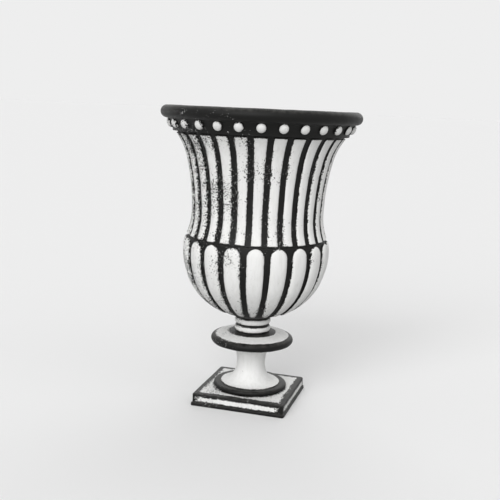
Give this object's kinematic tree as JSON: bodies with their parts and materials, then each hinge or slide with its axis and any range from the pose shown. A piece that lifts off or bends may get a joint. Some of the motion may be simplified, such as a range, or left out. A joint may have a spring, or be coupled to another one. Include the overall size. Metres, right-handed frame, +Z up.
{
  "type": "urn planter",
  "caption": "Campana-form garden urn with a rolled lip, beaded rim, reeded bell and lobed belly, on a trumpet stem with a knop and a square plinth.",
  "frame": {"origin": "on the ground, under the middle of the plinth", "axes": "+Z up along the urn's axis; the plinth's sides face along X and Y, with the front along -Y"},
  "size_m": [0.502, 0.502, 0.7508],
  "materials": {
    "painted_iron": "matt off-white paint over black, thin and worn through at edges, black in the grooves",
    "black_iron": "satin black paint on sand-cast iron, dusty and rubbed at the edges",
    "fastener_steel": "dull zinc plating, slightly rusty"
  },
  "bodies": {
    "root": {"plinth": "painted_iron", "stem": "painted_iron", "knop": "painted_iron", "collar": "painted_iron", "belly": "painted_iron", "bell": "painted_iron", "rim": "black_iron", "tie_rod": "fastener_steel", "rod_washer_top": "fastener_steel", "rod_nut_top": "fastener_steel", "rod_washer_bottom": "fastener_steel", "rod_nut_bottom": "fastener_steel", "waist_bolt_1": "fastener_steel", "waist_bolt_2": "fastener_steel", "waist_bolt_3": "fastener_steel", "waist_bolt_4": "fastener_steel", "waist_bolt_5": "fastener_steel", "waist_bolt_6": "fastener_steel", "waist_nut_1": "fastener_steel", "waist_nut_2": "fastener_steel", "waist_nut_3": "fastener_steel", "waist_nut_4": "fastener_steel", "waist_nut_5": "fastener_steel", "waist_nut_6": "fastener_steel", "rim_screw_1": "fastener_steel", "rim_screw_2": "fastener_steel", "rim_screw_3": "fastener_steel", "rim_screw_4": "fastener_steel", "rim_screw_5": "fastener_steel", "rim_screw_6": "fastener_steel"}
  },
  "joints": []
}
